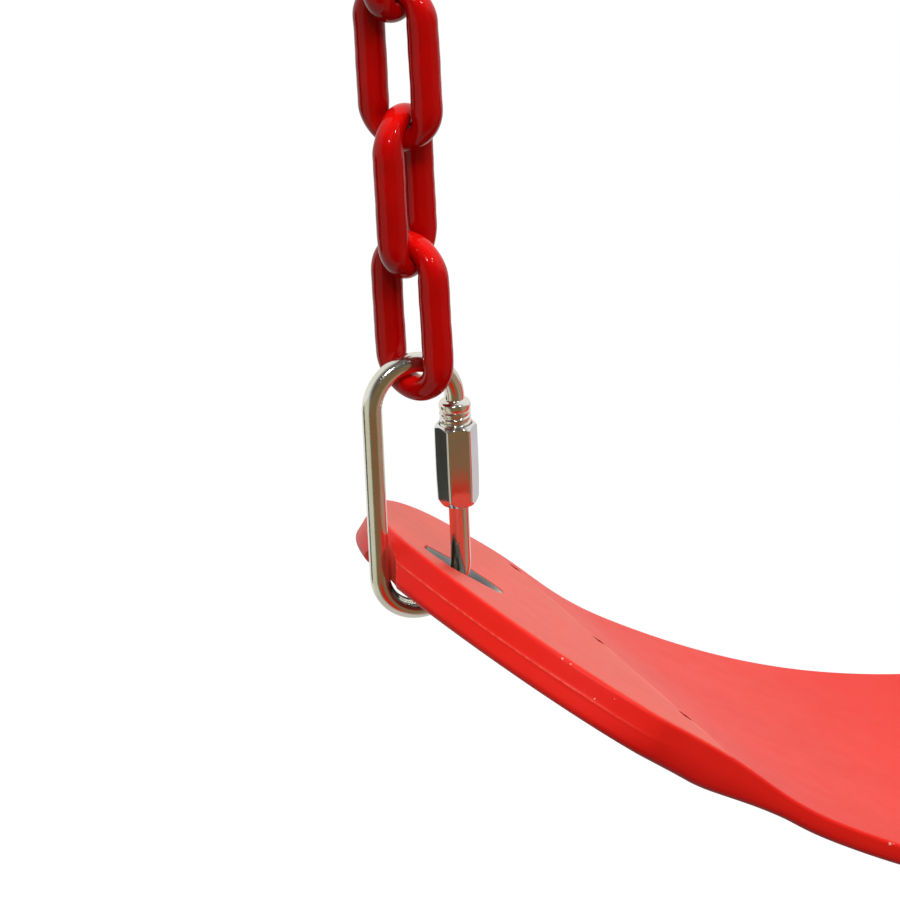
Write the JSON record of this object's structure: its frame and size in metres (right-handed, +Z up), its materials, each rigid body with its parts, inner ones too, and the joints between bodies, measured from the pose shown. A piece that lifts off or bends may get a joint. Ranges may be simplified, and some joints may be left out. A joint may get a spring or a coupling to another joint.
{
  "type": "belt swing seat",
  "caption": "Flexible moulded belt seat hung at both ends from screw quick links and short plastic-coated chains.",
  "frame": {"origin": "midway between the two hanging points, which are the inside tops of the two upper quick links", "axes": "+X along the belt from its left end to its right end, +Y to the back, +Z up"},
  "size_m": [0.5184, 0.1396, 0.3767],
  "materials": {
    "belt_rubber": "satin, smooth moulded",
    "chain_coating": "thick glossy plastisol",
    "zinc_plated_steel": "bright zinc plate",
    "zinc_plated_nut": "bright zinc plate",
    "eyelet_steel": "plated, rolled rim",
    "insert_steel": "plain, moulded in"
  },
  "bodies": {
    "hangers": {"quick_link_upper_left": "zinc_plated_steel", "quick_link_upper_right": "zinc_plated_steel"},
    "chain_link_left_5": {"chain_link_left_5": "chain_coating"},
    "chain_link_left_4": {"chain_link_left_4": "chain_coating"},
    "chain_link_left_3": {"chain_link_left_3": "chain_coating"},
    "chain_link_left_2": {"chain_link_left_2": "chain_coating"},
    "chain_link_left_1": {"chain_link_left_1": "chain_coating"},
    "quick_link_lower_left": {"quick_link_lower_left": "zinc_plated_steel"},
    "chain_link_right_5": {"chain_link_right_5": "chain_coating"},
    "chain_link_right_4": {"chain_link_right_4": "chain_coating"},
    "chain_link_right_3": {"chain_link_right_3": "chain_coating"},
    "chain_link_right_2": {"chain_link_right_2": "chain_coating"},
    "chain_link_right_1": {"chain_link_right_1": "chain_coating"},
    "quick_link_lower_right": {"quick_link_lower_right": "zinc_plated_steel"},
    "seat": {"seat_belt": "belt_rubber", "end_insert_left": "insert_steel", "end_insert_right": "insert_steel", "eyelet_left": "eyelet_steel", "eyelet_right": "eyelet_steel", "eyelet_washer_left": "eyelet_steel", "eyelet_washer_right": "eyelet_steel"},
    "quick_link_nut_upper_left": {"quick_link_nut_upper_left": "zinc_plated_nut"},
    "quick_link_nut_upper_right": {"quick_link_nut_upper_right": "zinc_plated_nut"},
    "quick_link_nut_lower_left": {"quick_link_nut_lower_left": "zinc_plated_nut"},
    "quick_link_nut_lower_right": {"quick_link_nut_lower_right": "zinc_plated_nut"}
  },
  "joints": [
    {"name": "left_chain_top_swing", "type": "hinge", "parent": "hangers", "child": "chain_link_left_5", "pos_m": [-0.24571, 0, -0.0632], "axis": [1, 0, 0], "range_deg": [-25, 25]},
    {"name": "left_chain_swing_4", "type": "hinge", "parent": "chain_link_left_5", "child": "chain_link_left_4", "pos_m": [-0.24383, 0, -0.09239], "axis": [1, 0, 0], "range_deg": [-8, 8]},
    {"name": "left_chain_swing_3", "type": "hinge", "parent": "chain_link_left_4", "child": "chain_link_left_3", "pos_m": [-0.24192, 0, -0.12454], "axis": [1, 0, 0], "range_deg": [-8, 8]},
    {"name": "left_chain_swing_2", "type": "hinge", "parent": "chain_link_left_3", "child": "chain_link_left_2", "pos_m": [-0.24001, 0, -0.15668], "axis": [1, 0, 0], "range_deg": [-8, 8]},
    {"name": "left_chain_swing_1", "type": "hinge", "parent": "chain_link_left_2", "child": "chain_link_left_1", "pos_m": [-0.2381, 0, -0.18882], "axis": [1, 0, 0], "range_deg": [-8, 8]},
    {"name": "left_quick_link_swing", "type": "hinge", "parent": "chain_link_left_1", "child": "quick_link_lower_left", "pos_m": [-0.23739, 0, -0.21691], "axis": [1, 0, 0], "range_deg": [-10, 10]},
    {"name": "right_chain_top_swing", "type": "hinge", "parent": "hangers", "child": "chain_link_right_5", "pos_m": [0.24571, 0, -0.0632], "axis": [1, 0, 0], "range_deg": [-25, 25]},
    {"name": "right_chain_swing_4", "type": "hinge", "parent": "chain_link_right_5", "child": "chain_link_right_4", "pos_m": [0.24383, 0, -0.09239], "axis": [1, 0, 0], "range_deg": [-8, 8]},
    {"name": "right_chain_swing_3", "type": "hinge", "parent": "chain_link_right_4", "child": "chain_link_right_3", "pos_m": [0.24192, 0, -0.12454], "axis": [1, 0, 0], "range_deg": [-8, 8]},
    {"name": "right_chain_swing_2", "type": "hinge", "parent": "chain_link_right_3", "child": "chain_link_right_2", "pos_m": [0.24001, 0, -0.15668], "axis": [1, 0, 0], "range_deg": [-8, 8]},
    {"name": "right_chain_swing_1", "type": "hinge", "parent": "chain_link_right_2", "child": "chain_link_right_1", "pos_m": [0.2381, 0, -0.18882], "axis": [1, 0, 0], "range_deg": [-8, 8]},
    {"name": "right_quick_link_swing", "type": "hinge", "parent": "chain_link_right_1", "child": "quick_link_lower_right", "pos_m": [0.23739, 0, -0.21691], "axis": [1, 0, 0], "range_deg": [-10, 10]},
    {"name": "seat_tilt", "type": "hinge", "parent": "quick_link_lower_left", "child": "seat", "pos_m": [-0.23584, 0, -0.27872], "axis": [1, 0, 0], "range_deg": [-10, 10]},
    {"name": "nut_upper_left_travel", "type": "slide", "parent": "hangers", "child": "quick_link_nut_upper_left", "axis": [0, 0, 1], "range_m": [0, 0.009]},
    {"name": "nut_upper_right_travel", "type": "slide", "parent": "hangers", "child": "quick_link_nut_upper_right", "axis": [0, 0, 1], "range_m": [0, 0.009]},
    {"name": "nut_lower_left_travel", "type": "slide", "parent": "quick_link_lower_left", "child": "quick_link_nut_lower_left", "axis": [-0.0471, 0, 0.9989], "range_m": [0, 0.009]},
    {"name": "nut_lower_right_travel", "type": "slide", "parent": "quick_link_lower_right", "child": "quick_link_nut_lower_right", "axis": [0.0471, 0, 0.9989], "range_m": [0, 0.009]}
  ],
  "couplings": [
    {"joint": "right_chain_top_swing", "follows": "left_chain_top_swing", "ratio": 1},
    {"joint": "right_chain_swing_4", "follows": "left_chain_swing_4", "ratio": 1},
    {"joint": "right_chain_swing_3", "follows": "left_chain_swing_3", "ratio": 1},
    {"joint": "right_chain_swing_2", "follows": "left_chain_swing_2", "ratio": 1},
    {"joint": "right_chain_swing_1", "follows": "left_chain_swing_1", "ratio": 1},
    {"joint": "right_quick_link_swing", "follows": "left_quick_link_swing", "ratio": 1}
  ]
}
